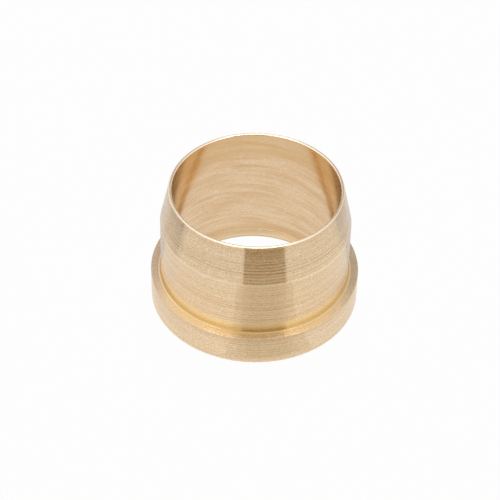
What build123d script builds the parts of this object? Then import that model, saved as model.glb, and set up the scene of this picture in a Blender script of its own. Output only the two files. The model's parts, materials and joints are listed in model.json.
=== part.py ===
from build123d import *
import os
from math import radians, tan

# Tube ferrule: a brass compression ring, turned from bar in one piece. A nose cone, a plain land
# and a square collar follow one another along one axis, around the bore that the tube slides
# through. The collar's end face is the foot of the part, its centre is the origin, and the axis
# is +Z, towards the nose. Sizes are in millimetres and degrees.

# Bore: the tube, and the room that it has inside the ring
tube_diameter = 12.0
tube_clearance = 0.05  # on each side, inside the grip lip
bore_relief = 0.36  # on each side, from the grip lip out to the bore's long wall
nose_closing = 0.18  # on each side, from the long wall in to the nose, as it curves in behind the cone
lip_length = 0.10  # wall of the grip lip, at the foot of the bore
lip_lead_angle = 55.0  # slope from the grip lip out to the bore, from the axis

# Nose cone, which wedges into the fitting's seat
nose_wall = 0.25  # end face of the ring
cone_angle = 24.0  # from side to side
cone_length = 3.05

# Plain land, which enters the mouth of the fitting
land_length = 4.72

# Collar, which the nut presses on
collar_length = 2.48
shoulder_width = 0.76

# Edges as the tool leaves them
nose_edge_radius = 0.09  # on both edges of the nose's end face
corner_radius = 0.22  # in the corner between the land and the shoulder
shoulder_edge_radius = 0.05  # on the shoulder's outer edge
foot_edge_radius = 0.12  # on the foot's outer edge

# Radii and heights that follow from the sizes above
lip_radius = tube_diameter / 2 + tube_clearance
bore_radius = lip_radius + bore_relief
nose_bore_radius = bore_radius - nose_closing
nose_radius = nose_bore_radius + nose_wall
land_radius = nose_radius + cone_length * tan(radians(cone_angle / 2))
collar_radius = land_radius + shoulder_width

lead_height = lip_length + bore_relief / tan(radians(lip_lead_angle))
cone_height = collar_length + land_length
nose_height = cone_height + cone_length


def turned_edge(height, place):
    """The ferrule's circular edge at a height: place 0 is the innermost, -1 the outermost."""
    rings = ferrule.edges().filter_by(GeomType.CIRCLE)
    return rings.filter_by_position(Axis.Z, height, height).sort_by(SortBy.RADIUS)[place]


with BuildPart() as ferrule:
    with BuildSketch(Plane.XZ):
        with BuildLine():
            Polyline(
                (bore_radius, cone_height),
                (bore_radius, lead_height),
                (lip_radius, lip_length),
                (lip_radius, 0),
                (collar_radius, 0),
                (collar_radius, collar_length),
                (land_radius, collar_length),
                (land_radius, cone_height),
                (nose_radius, nose_height),
                (nose_bore_radius, nose_height),
            )
            TangentArc((bore_radius, cone_height), (nose_bore_radius, nose_height), tangent=(0, 1))
        make_face()
    revolve(axis=Axis.Z)
    fillet([turned_edge(nose_height, 0), turned_edge(nose_height, -1)], radius=nose_edge_radius)
    fillet(turned_edge(collar_length, 0), radius=corner_radius)
    fillet(turned_edge(collar_length, -1), radius=shoulder_edge_radius)
    fillet(turned_edge(0, -1), radius=foot_edge_radius)

ferrule.part.label = "ferrule"
os.makedirs("parts", exist_ok=True)
export_step(ferrule.part, "parts/ferrule.step")
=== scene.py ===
import json
from math import asin, cos, pi, radians, sin, tan

import bpy
import numpy as np
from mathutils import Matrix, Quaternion, Vector


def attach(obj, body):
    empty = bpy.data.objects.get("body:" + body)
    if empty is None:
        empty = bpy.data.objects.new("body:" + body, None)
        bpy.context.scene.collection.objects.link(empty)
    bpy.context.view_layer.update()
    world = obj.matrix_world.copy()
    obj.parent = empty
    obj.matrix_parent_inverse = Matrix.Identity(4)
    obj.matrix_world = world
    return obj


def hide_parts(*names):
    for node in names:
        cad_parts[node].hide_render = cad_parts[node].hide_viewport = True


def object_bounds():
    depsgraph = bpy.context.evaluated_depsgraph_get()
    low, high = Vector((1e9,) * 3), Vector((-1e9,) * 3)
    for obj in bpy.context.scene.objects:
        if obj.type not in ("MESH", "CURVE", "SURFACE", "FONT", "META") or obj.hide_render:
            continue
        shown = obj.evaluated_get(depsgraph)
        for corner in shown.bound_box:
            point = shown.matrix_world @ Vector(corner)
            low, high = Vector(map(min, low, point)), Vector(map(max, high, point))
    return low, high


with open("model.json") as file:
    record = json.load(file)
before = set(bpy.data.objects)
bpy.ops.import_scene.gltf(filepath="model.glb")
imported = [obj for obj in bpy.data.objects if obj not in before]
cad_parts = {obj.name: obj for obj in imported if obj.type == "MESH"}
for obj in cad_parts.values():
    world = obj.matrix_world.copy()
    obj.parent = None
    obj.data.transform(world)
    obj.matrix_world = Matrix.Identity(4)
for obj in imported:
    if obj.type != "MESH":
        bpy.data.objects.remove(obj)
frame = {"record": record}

# A brass tube ferrule, turned from bar in one piece, on a pale studio floor. Lengths are in metres,
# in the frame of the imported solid: the ring stands on its collar, around +Z.

cad_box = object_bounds()
MM = 0.001
IMAGE_WIDTH = 500  # pixels, of a square picture

# Sizes of the ring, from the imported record's mounts
mounts = {mount["name"]: mount for mount in frame["record"]["mounts"]}


def radius_of(name):
    """Radius of a round mount."""
    return mounts[name]["dims"]["r_mm"] * MM


def span_of(name):
    """Lowest and highest point of a round mount's wall."""
    middle = mounts[name]["pos_m"][2]
    half_length = mounts[name]["dims"]["length_mm"] * MM / 2
    return middle - half_length, middle + half_length


CONE_HALF_ANGLE = radians(12)
NOSE_WALL = 0.25 * MM
NOSE_EDGE_RADIUS = 0.09 * MM
EDGE_SHARE = 0.4  # of the solid's radius, for a crisper outer edge on the shoulder
bore_radius = radius_of("tube_bore")
lip_radius = radius_of("grip_lip")
land_radius = radius_of("land")
collar_radius = radius_of("collar")
bore_low, bore_high = span_of("tube_bore")
lip_low, lip_high = span_of("grip_lip")
land_low, land_high = span_of("land")
collar_low, collar_high = span_of("collar")
shoulder_height = mounts["shoulder"]["pos_m"][2]
nose_height = cad_box[1][2]
nose_radius = land_radius - (nose_height - land_high) * tan(CONE_HALF_ANGLE)
nose_bore_radius = nose_radius - NOSE_WALL
corner_radius = land_low - shoulder_height
shoulder_edge_radius = EDGE_SHARE * (shoulder_height - collar_high)
foot_edge_radius = collar_low - lip_low

# Turning marks. A feed is the tool's advance for each turn of the bar. A real one is likely finer:
# both are drawn as coarse as they need to be to show
FEED = 0.25 * MM
BORE_FEED = 0.40 * MM
MARK_DEPTH = 0.009 * MM
BORE_MARK_DEPTH = 0.0015 * MM
LEAST_SHARE = 0.4  # of the depth, in the shallowest mark
FACED_SHARE = 0.15  # of the depth, on the shoulder and the foot
BOTTOM_PLACES = (0.25, 0.75)  # range of a mark's deepest line, as shares of the mark's width
PLAIN_FOOT = 0.6 * MM  # foot of the land, where the tool slows and leaves no marks
POINTS_PER_MARK = 6
EDGE_STEP = 0.03 * MM  # between points on the small edges
TURN_STEPS = 180  # points round the axis
SEED = 12

OUTSIDE, BORE, LIP = 0, 1, 2  # material places on the ring


def with_marks(points, length, step, feed, depth, finish):
    """Section rows for points that are spaced evenly along a length.

    Each row is radius, height, feed, mark depth and finish. The depth falls to nothing at both ends,
    over half a feed.
    """
    share = np.arange(len(points)) / len(points)
    fade = np.clip(np.minimum(share, 1 - share) * length / max(feed / 2, step), 0, 1)
    return np.column_stack([
        points,
        np.full(len(points), max(feed, step)),
        depth * fade,
        np.full(len(points), finish),
    ])


def run(start, end, step, feed=0.0, depth=0.0, finish=OUTSIDE):
    """One straight run of the section: points spaced evenly from start, up to but not including end."""
    start, end = np.array(start), np.array(end)
    length = np.linalg.norm(end - start)
    count = max(2, int(np.ceil(length / step)))
    points = start + np.arange(count)[:, None] / count * (end - start)
    return with_marks(points, length, step, feed, depth, finish)


def arc(centre, radius, start, end, step=EDGE_STEP, feed=0.0, depth=0.0, finish=OUTSIDE):
    """One round run of the section: centre plus radius times the cosine and sine of an even angle."""
    length = radius * abs(end - start)
    count = max(4, int(np.ceil(length / step)))
    angle = start + np.arange(count) / count * (end - start)
    points = np.array(centre) + radius * np.column_stack([np.cos(angle), np.sin(angle)])
    return with_marks(points, length, step, feed, depth, finish)


def ring_section():
    """The ring's closed section: down the outside, across the foot, up the bore and over the nose."""
    turned = {"step": FEED / POINTS_PER_MARK, "feed": FEED, "depth": MARK_DEPTH}
    faced = {**turned, "depth": FACED_SHARE * MARK_DEPTH}
    bored = {
        "step": BORE_FEED / POINTS_PER_MARK,
        "feed": BORE_FEED,
        "depth": BORE_MARK_DEPTH,
        "finish": BORE,
    }
    corner_centre = (land_radius + corner_radius, land_low)
    edge_centre = (collar_radius - shoulder_edge_radius, shoulder_height - shoulder_edge_radius)
    foot_centre = (collar_radius - foot_edge_radius, collar_low)
    nose_low = nose_height - NOSE_EDGE_RADIUS
    # The outer edge of the nose is an arc between the end face and the cone
    cone_cosine = cos(CONE_HALF_ANGLE)
    cone_sine = sin(CONE_HALF_ANGLE)
    cone_offset = nose_radius * cone_cosine + nose_height * cone_sine - NOSE_EDGE_RADIUS
    outer_nose = ((cone_offset - nose_low * cone_sine) / cone_cosine, nose_low)
    cone_top = (
        outer_nose[0] + NOSE_EDGE_RADIUS * cone_cosine,
        nose_low + NOSE_EDGE_RADIUS * cone_sine,
    )
    # Behind the cone the bore's wall curves in, on an arc that starts upright
    closing = bore_radius - nose_bore_radius
    closing_radius = ((nose_height - bore_high) ** 2 + closing ** 2) / (2 * closing)
    closing_centre = (bore_radius - closing_radius, bore_high)
    closing_angle = asin((nose_low - bore_high) / (closing_radius + NOSE_EDGE_RADIUS))
    inner_nose = (
        closing_centre[0] + (closing_radius + NOSE_EDGE_RADIUS) * cos(closing_angle),
        nose_low,
    )
    return np.vstack([
        run(cone_top, (land_radius, land_high), **turned),
        run((land_radius, land_high), (land_radius, land_low + PLAIN_FOOT), **turned),
        run((land_radius, land_low + PLAIN_FOOT), (land_radius, land_low), 2 * EDGE_STEP),
        arc(corner_centre, corner_radius, pi, 1.5 * pi),
        run((corner_centre[0], shoulder_height), (edge_centre[0], shoulder_height), **faced),
        arc(edge_centre, shoulder_edge_radius, 0.5 * pi, 0),
        run((collar_radius, edge_centre[1]), (collar_radius, collar_low), **turned),
        arc(foot_centre, foot_edge_radius, 0, -0.5 * pi),
        run((foot_centre[0], lip_low), (lip_radius, lip_low), **faced),
        run((lip_radius, lip_low), (lip_radius, lip_high), EDGE_STEP, finish=LIP),
        run((lip_radius, lip_high), (bore_radius, bore_low), EDGE_STEP, finish=LIP),
        run((bore_radius, bore_low), (bore_radius, bore_high), **bored),
        arc(closing_centre, closing_radius, 0, closing_angle, **bored),
        arc(inner_nose, NOSE_EDGE_RADIUS, pi + closing_angle, 0.5 * pi),
        run((inner_nose[0], nose_height), (outer_nose[0], nose_height), EDGE_STEP),
        arc(outer_nose, NOSE_EDGE_RADIUS, 0.5 * pi, CONE_HALF_ANGLE),
    ])


def turned_ring(name, section):
    """The ring as a grid: the section's points carried round the axis, with the tool's marks cut in.

    A mark is a shallow helical groove. Its phase is the distance along the section over the feed,
    less the turn, so it moves on by one feed a turn and closes on itself. Its depth is one minus the
    square of the distance from its bottom over the distance from bottom to ridge, so two grooves
    meet in a sharp ridge. The depth's share and the bottom's place follow the tool, and change from
    turn to turn. Points move into the metal, along the section's normal. The attribute ridge is one
    on a ridge and on smooth metal, and falls to nothing at the bottom of the deepest mark.
    """
    points, feed, depth = section[:, :2], section[:, 2:3], section[:, 3:4]
    rows, columns = len(section), TURN_STEPS
    ahead = np.roll(points, -1, axis=0) - points
    distance = np.concatenate([[0], np.cumsum(np.linalg.norm(ahead, axis=1))])
    tangent = np.roll(points, -1, axis=0) - np.roll(points, 1, axis=0)
    tangent /= np.linalg.norm(tangent, axis=1, keepdims=True)
    outward = np.column_stack([-tangent[:, 1], tangent[:, 0]])

    turn = np.arange(columns)[None, :] / columns
    phase = distance[:-1, None] / feed - turn
    travelled = np.floor(phase) + turn
    turns = np.arange(int(travelled.min()) - 1, int(travelled.max()) + 3)
    random = np.random.default_rng(SEED)
    share = np.interp(travelled, turns, random.uniform(LEAST_SHARE, 1, len(turns)))
    bottom = np.interp(travelled, turns, random.uniform(*BOTTOM_PLACES, len(turns)))
    across = phase - np.floor(phase) - bottom
    mark = share * (1 - (across / np.where(across < 0, bottom, 1 - bottom)) ** 2)
    cut = depth * mark
    ridge = 1 - mark * depth / np.where(section[:, 4:] == BORE, BORE_MARK_DEPTH, MARK_DEPTH)

    radius = points[:, :1] - outward[:, :1] * cut
    height = points[:, 1:] - outward[:, 1:] * cut
    angle = 2 * pi * turn
    vertices = np.stack([radius * np.cos(angle), radius * np.sin(angle), height], axis=-1)

    row, column = np.meshgrid(np.arange(rows), np.arange(columns), indexing="ij")
    corner_rows = np.stack([row, row + 1, row + 1, row], axis=-1)
    corner_columns = np.stack([column, column, column + 1, column + 1], axis=-1)
    faces = corner_rows % rows * columns + corner_columns % columns

    mesh = bpy.data.meshes.new(name)
    mesh.from_pydata(vertices.reshape(-1, 3), [], faces.reshape(-1, 4))
    mesh.polygons.foreach_set("use_smooth", np.ones(rows * columns, bool))
    mesh.polygons.foreach_set("material_index", np.repeat(section[:, 4].astype(np.int32), columns))
    uv = np.stack([distance[corner_rows] / distance[-1], corner_columns / columns], axis=-1)
    mesh.uv_layers.new(name="section").data.foreach_set("uv", uv.astype(np.float32).ravel())
    ridges = mesh.attributes.new("ridge", "FLOAT", "POINT")
    ridges.data.foreach_set("value", ridge.astype(np.float32).ravel())
    mesh.update()
    ring = bpy.data.objects.new(name, mesh)
    bpy.context.scene.collection.objects.link(ring)
    return ring, distance


def linear(hex_colour):
    """An sRGB hex colour as linear red, green, blue and alpha."""
    srgb = np.array([int(hex_colour[i:i + 2], 16) for i in (1, 3, 5)]) / 255
    rgb = np.where(srgb <= 0.04045, srgb / 12.92, ((srgb + 0.055) / 1.055) ** 2.4)
    return (*rgb, 1.0)


def add_node(tree, kind, options=(), values=(), links=()):
    """Adds one node with its options, socket values and links from other nodes' outputs."""
    node = tree.nodes.new("ShaderNode" + kind)
    for name, value in dict(options).items():
        setattr(node, name, value)
    for socket, value in dict(values).items():
        node.inputs[socket].default_value = value
    for socket, output in dict(links).items():
        tree.links.new(output, node.inputs[socket])
    return node


def new_material(name):
    """An empty node material, and its tree."""
    material = bpy.data.materials.new(name)
    material.use_nodes = True
    material.node_tree.nodes.clear()
    return material, material.node_tree


# Shared by all the brass: blotches of oil and handling, a roughness that changes with scratches and
# grain, and a thin film of oil
BLOTCH_WIDTH = 0.5 * MM
BLOTCH_LENGTH = 4 * MM
ROUGHNESS_SPREAD = 0.05  # to either side
MATT_EDGE = 0.15 * MM  # below the cone, over which the further roughness sets in
RELIEF_GRAIN_SHARE = 0.12  # of the relief, which is otherwise scratches
FILM_WEIGHT = 0.2
FILM_ROUGHNESS = 0.35


def brass(name, roughness, anisotropy, tint, streak, slant, grain, bump_depth, ridge_share, painted_light_bands):
    """Bare brass with tool marks that run round the axis.

    roughness is a first value, and what is added to it past the cone. tint is the dark, light and
    blotched colours, and the share of the blotches. streak is the width and length of a scratch, slant
    its lean across the ring, and grain the width and length of the speckle that tumbling leaves, and
    its share. ridge_share is how much of the tint follows the marks' ridges. The last argument is a
    list of distances along the section, each with a colour and its share, that lays painted
    highlights, reflections and shade over the brass.
    """
    dark, light, blotched, blotch_share = tint
    streak_width, streak_length = streak
    grain_width, grain_length, grain_share = grain
    material, tree = new_material(name)
    uv = add_node(tree, "UVMap", {"uv_map": "section"})
    uv_parts = add_node(tree, "SeparateXYZ", links={0: uv.outputs[0]})
    place = add_node(tree, "TexCoord")
    place_parts = add_node(tree, "SeparateXYZ", links={0: place.outputs["Object"]})
    along = add_node(
        tree, "Math", {"operation": "MULTIPLY"}, {1: section_length}, {0: uv_parts.outputs[0]})
    leaned = add_node(
        tree, "Math", {"operation": "MULTIPLY_ADD"}, {1: slant},
        {0: place_parts.outputs[0], 2: along.outputs[0]})
    line_place = add_node(
        tree, "CombineXYZ",
        links={0: place_parts.outputs[0], 1: place_parts.outputs[1], 2: leaned.outputs[0]})
    line_scale = add_node(
        tree, "Mapping", values={"Scale": (1 / streak_length, 1 / streak_length, 1 / streak_width)},
        links={"Vector": line_place.outputs[0]})
    streaks = add_node(
        tree, "TexNoise", values={"Scale": 1.0, "Detail": 2.0, "Roughness": 0.7},
        links={"Vector": line_scale.outputs[0]})
    grain_scale = add_node(
        tree, "Mapping", values={"Scale": (1 / grain_length, 1 / grain_length, 1 / grain_width)},
        links={"Vector": line_place.outputs[0]})
    speckle = add_node(
        tree, "TexNoise", values={"Scale": 1.0, "Detail": 1.0, "Roughness": 0.5},
        links={"Vector": grain_scale.outputs[0]})
    height = add_node(
        tree, "Mix", {"data_type": "FLOAT"}, {"Factor": grain_share},
        {"A": streaks.outputs["Fac"], "B": speckle.outputs["Fac"]})
    contrast = add_node(
        tree, "MapRange", values={"From Min": 0.3, "From Max": 0.7}, links={"Value": height.outputs[0]})
    ridge = add_node(tree, "Attribute", {"attribute_name": "ridge"})
    worn = add_node(
        tree, "Mix", {"data_type": "FLOAT"}, {"Factor": ridge_share},
        {"A": contrast.outputs[0], "B": ridge.outputs["Fac"]})
    fresh = add_node(
        tree, "Mix", {"data_type": "RGBA"}, {"A": linear(dark), "B": linear(light)},
        {"Factor": worn.outputs[0]})
    blotch_scale = add_node(
        tree, "Mapping", values={"Scale": (1 / BLOTCH_LENGTH, 1 / BLOTCH_LENGTH, 1 / BLOTCH_WIDTH)},
        links={"Vector": line_place.outputs[0]})
    blotches = add_node(
        tree, "TexNoise", values={"Scale": 1.0, "Detail": 3.0, "Roughness": 0.6},
        links={"Vector": blotch_scale.outputs[0]})
    blotched_share = add_node(
        tree, "MapRange", values={"From Min": 0.45, "From Max": 0.75, "To Max": blotch_share},
        links={"Value": blotches.outputs["Fac"]})
    aged = add_node(
        tree, "Mix", {"data_type": "RGBA"}, {"B": linear(blotched)},
        {"Factor": blotched_share.outputs[0], "A": fresh.outputs[2]})
    # Painted light: colour laid along the section for highlights, reflections and shade
    painted_light_start, painted_light_end = painted_light_bands[0][0], painted_light_bands[-1][0]
    painted_light_place = add_node(
        tree, "MapRange", values={"From Min": painted_light_start, "From Max": painted_light_end},
        links={"Value": along.outputs[0]})
    painted_light_ramp = add_node(tree, "ValToRGB", links={0: painted_light_place.outputs[0]})
    painted_light_ramp.color_ramp.elements.remove(painted_light_ramp.color_ramp.elements[1])
    for band_distance, band_colour, band_share in painted_light_bands:
        position = (band_distance - painted_light_start) / (painted_light_end - painted_light_start)
        stop = painted_light_ramp.color_ramp.elements.new(position)
        stop.color = (*linear(band_colour)[:3], band_share)
    painted_light_ramp.color_ramp.elements.remove(painted_light_ramp.color_ramp.elements[0])
    colour = add_node(
        tree, "Mix", {"data_type": "RGBA"},
        links={"Factor": painted_light_ramp.outputs["Alpha"], "A": aged.outputs[2], "B": painted_light_ramp.outputs["Color"]})
    fine_rough = add_node(
        tree, "MapRange",
        values={"To Min": roughness[0] - ROUGHNESS_SPREAD, "To Max": roughness[0] + ROUGHNESS_SPREAD},
        links={"Value": contrast.outputs[0]})
    matt = add_node(
        tree, "MapRange",
        values={"From Min": cone_run, "From Max": cone_run + MATT_EDGE, "To Max": roughness[1]},
        links={"Value": along.outputs[0]})
    rough = add_node(
        tree, "Math", {"operation": "ADD"}, links={0: fine_rough.outputs[0], 1: matt.outputs[0]})
    relief = add_node(
        tree, "Mix", {"data_type": "FLOAT"}, {"Factor": RELIEF_GRAIN_SHARE},
        {"A": streaks.outputs["Fac"], "B": speckle.outputs["Fac"]})
    bump = add_node(
        tree, "Bump", values={"Strength": 1.0, "Distance": bump_depth},
        links={"Height": relief.outputs[0]})
    tangent = add_node(tree, "Tangent", {"direction_type": "UV_MAP", "uv_map": "section"})
    shader = add_node(
        tree, "BsdfPrincipled",
        values={
            "Metallic": 1.0,
            "Anisotropic": anisotropy,
            "Coat Weight": FILM_WEIGHT,
            "Coat Roughness": FILM_ROUGHNESS,
        },
        links={
            "Base Color": colour.outputs[2],
            "Roughness": rough.outputs[0],
            "Normal": bump.outputs[0],
            "Tangent": tangent.outputs[0],
        })
    add_node(tree, "OutputMaterial", links={0: shader.outputs[0]})
    return material


# The ring, and places along its section
section = ring_section()
ring, distance = turned_ring("turned_ring", section)
section_length = distance[-1]


def distance_to(radius, height):
    """Distance along the section to its point nearest to a radius and height."""
    return distance[np.argmin(np.hypot(section[:, 0] - radius, section[:, 1] - height))]


cone_run = distance_to(land_radius, land_high)
fillet_start = distance_to(land_radius, land_low)
fillet_length = 0.5 * pi * corner_radius
shoulder_start = fillet_start + fillet_length
lead_start = distance_to(lip_radius, lip_high)
bore_start = distance_to(bore_radius, bore_low)
bore_end = distance_to(nose_bore_radius, nose_height - NOSE_EDGE_RADIUS)

# Painted highlights lie on the edge below the cone and on the rim of the nose. Towards the corner
# between land and shoulder the colour turns yellower, and deep in its fillet darker, a painted shade.
# The shoulder is painted pale, a painted sheen, and the top of the collar darker
OUTSIDE_PAINTED_LIGHT = [
    (cone_run - 0.08 * MM, "#F8E6C8", 0.0),
    (cone_run, "#F8E6C8", 0.6),
    (cone_run + 0.08 * MM, "#F8E6C8", 0.0),
    (fillet_start - 0.80 * MM, "#E6D6AE", 0.0),
    (fillet_start - 0.30 * MM, "#F0D8A2", 0.55),
    (fillet_start, "#F4D490", 0.85),
    (fillet_start + 0.3 * fillet_length, "#E2BE78", 0.9),
    (fillet_start + 0.5 * fillet_length, "#C99950", 0.9),
    (fillet_start + 0.66 * fillet_length, "#B99152", 0.9),
    (fillet_start + 0.85 * fillet_length, "#E6D3B2", 0.5),
    (shoulder_start, "#E5D3B4", 0.7),
    (shoulder_start + 0.15 * MM, "#D6D5C5", 0.3),
    (shoulder_start + 0.36 * MM, "#F4F0E2", 0.28),
    (shoulder_start + 0.46 * MM, "#F4F0E2", 0.28),
    (shoulder_start + 0.56 * MM, "#B8935F", 0.35),
    (shoulder_start + 0.72 * MM, "#B8935F", 0.2),
    (shoulder_start + 1.0 * MM, "#B8935F", 0.0),
    (bore_end - 0.02 * MM, "#FEEFD8", 0.0),
    (bore_end, "#FEEFD8", 0.78),
    (section_length - 0.12 * MM, "#FEEFD8", 0.78),
    (section_length, "#FEEFD8", 0.1),
]
# The foot of the bore's wall has a painted highlight, a bright line where it meets the lip's lead,
# with a band of yellower gold above it, a painted reflection. A second such band of painted
# reflection lies inside the cone
BORE_PAINTED_LIGHT = [
    (bore_start, "#FFE9C8", 0.7),
    (bore_start + 0.06 * MM, "#FFE9C8", 0.7),
    (bore_start + 0.14 * MM, "#DFB97A", 0.5),
    (bore_start + 0.4 * MM, "#DFB97A", 0.5),
    (bore_start + 0.9 * MM, "#DFB97A", 0.0),
    (bore_end - 2.6 * MM, "#E2BF82", 0.0),
    (bore_end - 1.6 * MM, "#E0BC78", 0.55),
    (bore_end - 1.1 * MM, "#E5C383", 0.3),
    (bore_end, "#E5C383", 0.5),
]
# The upper half of the lip's lead is browner, a painted shade
LIP_PAINTED_SHADE = [
    (lead_start + 0.12 * MM, "#C9A97F", 0.0),
    (lead_start + 0.24 * MM, "#C9A97F", 0.65),
    (bore_start - 0.06 * MM, "#C9A97F", 0.65),
    (bore_start, "#E4C99C", 0.6),
]

# Turned outside: fine lines and grain, satin across the lines and nearly a mirror along them
ring.data.materials.append(brass(
    "turned_brass",
    roughness=(0.17, 0.05),
    anisotropy=1.0,
    tint=("#C89F6E", "#FFEAC9", "#E0C190", 0.25),
    streak=(0.16 * MM, 12 * MM),
    slant=0.0,
    grain=(0.075 * MM, 0.12 * MM, 0.7),
    bump_depth=0.011 * MM,
    ridge_share=0.30,
    painted_light_bands=OUTSIDE_PAINTED_LIGHT))
# Reamed bore: a smoother wall with faint bands, bright enough to mirror itself
ring.data.materials.append(brass(
    "reamed_brass",
    roughness=(0.18, 0),
    anisotropy=0.3,
    tint=("#EBCB9B", "#FFEFCE", "#DEB67B", 0.6),
    streak=(0.25 * MM, 6 * MM),
    slant=0.10,
    grain=(0.11 * MM, 0.22 * MM, 0.5),
    bump_depth=0.004 * MM,
    ridge_share=0.03,
    painted_light_bands=BORE_PAINTED_LIGHT))
# Grip lip: left dull by the drill, so that it mirrors little
ring.data.materials.append(brass(
    "drilled_brass",
    roughness=(0.30, 0),
    anisotropy=0.0,
    tint=("#CFB592", "#E2CBA8", "#CFB592", 0.5),
    streak=(0.30 * MM, 9 * MM),
    slant=0.0,
    grain=(0.11 * MM, 0.22 * MM, 0.6),
    bump_depth=0.003 * MM,
    ridge_share=0.0,
    painted_light_bands=LIP_PAINTED_SHADE))
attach(ring, "root")
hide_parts("ferrule")

# Floor
FLOOR_SIZE = 1.0
FLOOR_GLOW = 0.97  # share of plain white where the camera or metal sees it, the rest being lit paper


def white_floor():
    """Matt white paper. Seen by the camera or in metal it is nearly white, and it keeps the shadow."""
    material, tree = new_material("white_paper")
    path = add_node(tree, "LightPath")
    seen = add_node(
        tree, "Math", {"operation": "MAXIMUM"},
        links={0: path.outputs["Is Camera Ray"], 1: path.outputs["Is Glossy Ray"]})
    seen_through = add_node(
        tree, "Math", {"operation": "MAXIMUM"},
        links={0: seen.outputs[0], 1: path.outputs["Is Transmission Ray"]})
    share = add_node(
        tree, "Math", {"operation": "MULTIPLY"}, {1: FLOOR_GLOW}, {0: seen_through.outputs[0]})
    paper = add_node(tree, "BsdfDiffuse", values={"Color": linear("#F4F4F4")})
    glow = add_node(tree, "Emission", values={"Strength": 1.0})
    mixed = add_node(
        tree, "MixShader", links={0: share.outputs[0], 1: paper.outputs[0], 2: glow.outputs[0]})
    add_node(tree, "OutputMaterial", links={0: mixed.outputs[0]})
    return material


floor_mesh = bpy.data.meshes.new("floor")
half = FLOOR_SIZE / 2
floor_corners = [(-half, -half, 0), (half, -half, 0), (half, half, 0), (-half, half, 0)]
floor_mesh.from_pydata(floor_corners, [], [(0, 1, 2, 3)])
floor = bpy.data.objects.new("floor", floor_mesh)
floor.data.materials.append(white_floor())
bpy.context.scene.collection.objects.link(floor)


def softbox(name, centre, aim, width, height, radiance):
    """A rectangular lamp that faces aim, with the same brightness all over."""
    lamp = bpy.data.lights.new(name, "AREA")
    lamp.shape = "RECTANGLE"
    lamp.size = width
    lamp.size_y = height
    lamp.energy = radiance * pi * width * height
    light = bpy.data.objects.new(name, lamp)
    light.location = centre
    light.rotation_mode = "QUATERNION"
    light.rotation_quaternion = (Vector(aim) - Vector(centre)).to_track_quat("-Z", "Y")
    bpy.context.scene.collection.objects.link(light)


# Lamp, high up and a little behind the ring
softbox("top_softbox", centre=(0, 0.12, 0.48), aim=(0, 0, 0), width=0.3, height=0.16, radiance=4.5)

CARD_STEPS = 24
LOW = 0.2  # height of a card that lies over the floor, in millimetres


def card(name, profile, colour, strength=1.0):
    """A plain card that only reflections show, curved round the ring.

    Each point of the profile, a distance from the axis and a height in millimetres, is carried round
    from its left angle to its right one, in degrees from the front.
    """
    reach, height, left, right = np.array(profile, float).T[:, :, None]
    angle = np.radians(left + (right - left) * np.linspace(0, 1, CARD_STEPS + 1))
    points = np.stack([reach * np.sin(angle), -reach * np.cos(angle), height + 0 * angle], axis=-1) * MM
    rows, columns = angle.shape
    row, column = np.meshgrid(np.arange(rows - 1), np.arange(CARD_STEPS), indexing="ij")
    first = row * columns + column
    faces = np.stack([first, first + 1, first + columns + 1, first + columns], axis=-1)
    mesh = bpy.data.meshes.new(name)
    mesh.from_pydata(points.reshape(-1, 3), [], faces.reshape(-1, 4))
    # Lit card: an even glow, without gloss
    material, tree = new_material("lit_card")
    glow = add_node(tree, "Emission", values={"Color": linear(colour), "Strength": strength})
    add_node(tree, "OutputMaterial", links={0: glow.outputs[0]})
    mesh.materials.append(material)
    screen = bpy.data.objects.new(name, mesh)
    screen.visible_camera = False
    screen.visible_diffuse = False
    screen.visible_shadow = False
    bpy.context.scene.collection.objects.link(screen)


# In front, a dim opening that the camera looks in over, and a floor that dims towards the middle
card("opening", [(26, LOW, -10.5, 30), (40, 17, -12, 33), (73, 57, -12, 33)], "#A8987C")
card("front_floor", [(18, LOW, -10.5, 30), (26, LOW, -10.5, 30)], "#E2DFD5")
for place, (left, right, colour) in enumerate([
    (-16, -10, "#EFEDE8"),
    (-10, -4, "#E9E6DF"),
    (-4, 22, "#E3E0D6"),
    (22, 28, "#E9E6DF"),
    (28, 35, "#EFEDE8"),
]):
    card(f"near_floor_{place}", [(8.1, LOW, left, right), (18, LOW, left, right)], colour)
# Inside the ring and behind it, a dimmer floor: the ring's shade, painted on cards that only
# reflections show
card("inner_floor", [(0.1, 0.11, 0, 360), (6.04, 0.11, 0, 360)], "#E6DDDB")
card("back_near_floor", [(8.1, LOW, 105, 255), (14, LOW, 105, 255)], "#DEE2EA")
card("back_floor", [(14, LOW, 105, 255), (18, LOW, 105, 255)], "#F0F2F6")
# Pale sides, and past them greyer corners with dark strips outside them, and a grey back
card("left_card", [(18, LOW, -77, -10.5), (45, LOW, -80, -12), (90, 40, -82, -12)], "#EEEEEE")
card("right_card", [(18, LOW, 30, 93), (45, LOW, 33, 95), (90, 40, 33, 97)], "#EFEFEF")
card("left_blend", [(18, LOW, -85, -77), (45, LOW, -84, -80)], "#E0E1E5")
card("right_blend", [(18, LOW, 93, 101), (45, LOW, 95, 99)], "#E3E4E7")
card("left_corner", [(18, LOW, -135, -85), (29, LOW, -135, -84)], "#DAD8DA")
card("left_dark", [(29, LOW, -112, -84), (80, LOW, -112, -84)], "#605C5A")
card("left_side", [(80, LOW, -135, -82), (110, 60, -135, -82)], "#FFFFFF", 0.95)
card("right_corner", [(18, LOW, 101, 142), (33, LOW, 99, 142)], "#D3D4DA")
card("right_dark", [(33, LOW, 99, 125), (80, LOW, 99, 125)], "#808288")
card("left_back", [(100, 25, 180, 205), (100, 115, 180, 205)], "#C8BEB8")
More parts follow.
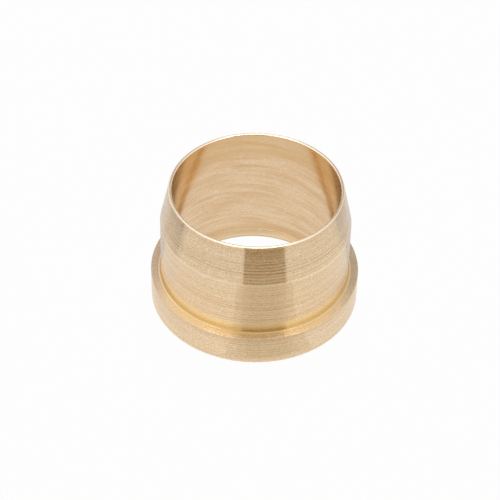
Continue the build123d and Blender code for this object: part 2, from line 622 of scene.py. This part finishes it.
card("right_back", [(100, 25, 155, 180), (100, 115, 155, 180)], "#B8AEA8")
# A sky over the opening, and a band of light above each side, which leans in at its top
card("front_sky", [(73, 58, -25, 40), (60, 110, -25, 40)], "#F1EFEC")
card("high_sky", [(60, 110, -25, 40), (20, 140, -40, 55)], "#FFFFFF", 1.15)
for name, left, right, strength in [
    ("left_light", -118, -25, 1.4),
    ("left_back_light", -155, -118, 1.25),
    ("right_light", 25, 118, 1.3),
    ("right_back_light", 118, 155, 0.92),
]:
    band = [(300, 180, left, right), (300, 360, left, right), (160, 420, left, right)]
    card(name, band, "#FFFFFF", strength)

# Surroundings: white in reflections, and grey where they light the paper
world = bpy.data.worlds.new("studio")
world.use_nodes = True
tree = world.node_tree
tree.nodes.clear()
path = add_node(tree, "LightPath")
shade = add_node(
    tree, "Mix", {"data_type": "RGBA"}, {"A": linear("#FFFFFF"), "B": linear("#A0A0A0")},
    {"Factor": path.outputs["Is Diffuse Ray"]})
background = add_node(tree, "Background", links={"Color": shade.outputs[2]})
add_node(tree, "OutputWorld", links={0: background.outputs[0]})
bpy.context.scene.world = world

# Camera, from the picture's perspective
CAMERA_ELEVATION = radians(42.82)
CAMERA_DISTANCE = 17.75 * collar_radius
CAMERA_ROLL = radians(1.315)
CAMERA_TARGET = Vector((-0.0481, 0, 0.5172)) * collar_radius
FOCAL_PIXELS = 1851

camera = bpy.data.objects.new("camera", bpy.data.cameras.new("camera"))
camera.data.lens = FOCAL_PIXELS * camera.data.sensor_width / IMAGE_WIDTH
back = Vector((0, -cos(CAMERA_ELEVATION), sin(CAMERA_ELEVATION)))
camera.location = CAMERA_TARGET + CAMERA_DISTANCE * back
camera.rotation_mode = "QUATERNION"
camera.rotation_quaternion = (-back).to_track_quat("-Z", "Y") @ Quaternion((0, 0, 1), CAMERA_ROLL)
camera.data.clip_start = 0.01
camera.data.clip_end = 10
bpy.context.scene.collection.objects.link(camera)
bpy.context.scene.camera = camera
bpy.context.scene.view_settings.view_transform = "Standard"
